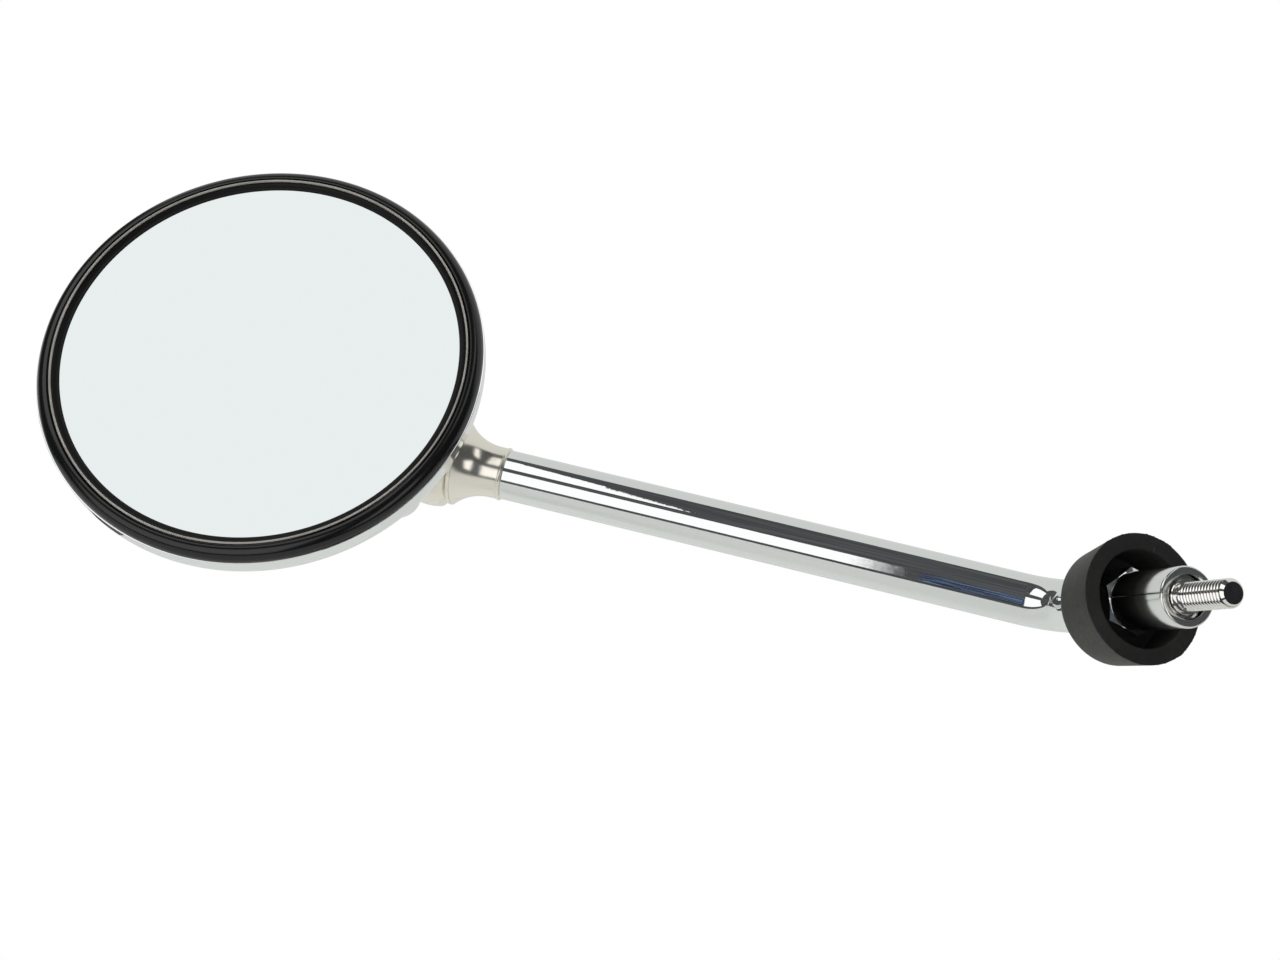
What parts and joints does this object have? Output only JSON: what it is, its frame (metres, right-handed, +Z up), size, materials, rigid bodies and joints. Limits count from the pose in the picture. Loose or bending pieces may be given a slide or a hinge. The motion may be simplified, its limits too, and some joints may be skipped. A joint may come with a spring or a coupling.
{
  "type": "motorcycle mirror",
  "caption": "Round rear-view mirror on a bent tube stem, with a swivelling and tilting head, a threaded stud and a sliding rubber cup over its fitting.",
  "frame": {"origin": "centre of the spacer sleeve's end face, on the stud's axis", "axes": "-Y along the stud's axis, out of the sleeve; the arm runs level from the mount towards -X and +Y; +Z up"},
  "size_m": [0.3319, 0.1915, 0.1365],
  "materials": {
    "chrome": "polished",
    "nickel": "polished nickel",
    "bright_zinc": "bright",
    "plain_steel": "plain",
    "cup_rubber": "matt",
    "bead_rubber": "glossy",
    "mirror": "polished",
    "backing": "matt",
    "foam": "foam"
  },
  "bodies": {
    "stem": {"stem_tube": "chrome", "hex_fitting": "chrome", "stud": "bright_zinc", "spacer_sleeve": "chrome", "neck": "nickel", "tube_plug": "plain_steel", "ball_stud": "plain_steel", "ball_nut": "plain_steel"},
    "cup": {"rubber_cup": "cup_rubber"},
    "swivel": {"domed_washer": "plain_steel", "disc_spring_inner": "plain_steel", "disc_spring_outer": "plain_steel"},
    "head": {"ball_bracket": "nickel", "bracket_gasket": "cup_rubber", "housing": "chrome", "tapped_plate": "plain_steel", "foot_screw_1": "bright_zinc", "foot_screw_2": "bright_zinc", "foot_screw_3": "bright_zinc", "lock_washer_1": "bright_zinc", "lock_washer_2": "bright_zinc", "lock_washer_3": "bright_zinc", "backing_disc": "backing", "foam_pad": "foam", "mirror_glass": "mirror", "rim_bead": "bead_rubber"}
  },
  "joints": [
    {"name": "cup_slide", "type": "slide", "parent": "stem", "child": "cup", "axis": [0, 1, 0], "range_m": [0, 0.012]},
    {"name": "head_swivel", "type": "hinge", "parent": "stem", "child": "swivel", "pos_m": [-0.19599, 0.14518, 0], "axis": [-0.9243, 0.3817, 0], "continuous": true},
    {"name": "head_tilt", "type": "hinge", "parent": "swivel", "child": "head", "pos_m": [-0.19599, 0.14518, 0], "axis": [0.0852, 0.2063, 0.9748], "range_deg": [-6, 6]}
  ]
}
